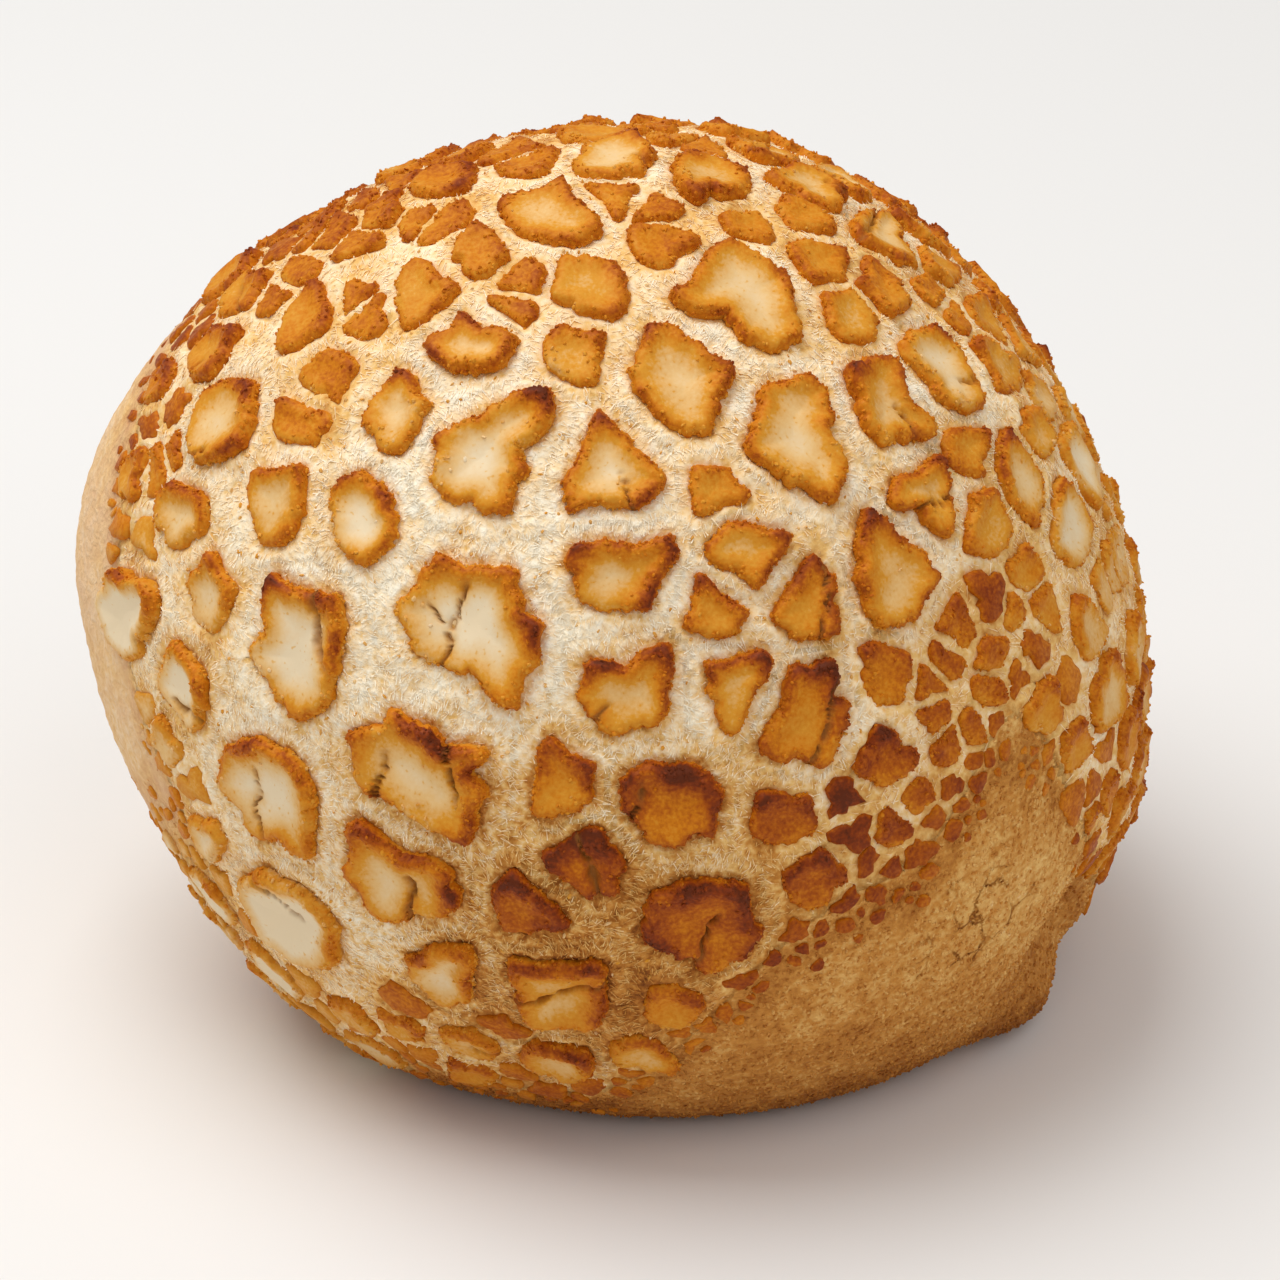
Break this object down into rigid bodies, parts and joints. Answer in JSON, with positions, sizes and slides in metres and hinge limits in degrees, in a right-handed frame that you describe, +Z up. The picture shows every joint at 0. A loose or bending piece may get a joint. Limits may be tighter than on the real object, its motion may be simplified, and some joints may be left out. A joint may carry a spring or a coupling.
{
  "type": "tiger bread roll",
  "caption": "Round crusty bread roll, leaning a little on a flat base, with a crackled rice paste crust of raised plates and bare crust low at the front and left.",
  "frame": {"origin": "on the flat base, under the middle of the dough", "axes": "+Z up, -Y towards the front with the large plates and the bare tongue, +X to the side with the foot"},
  "size_m": [0.1112, 0.1093, 0.0937],
  "materials": {
    "crust": "dry baked crust, cream in the cracks, golden to dark brown on the plates"
  },
  "bodies": {
    "root": {"roll": "crust"}
  },
  "joints": []
}
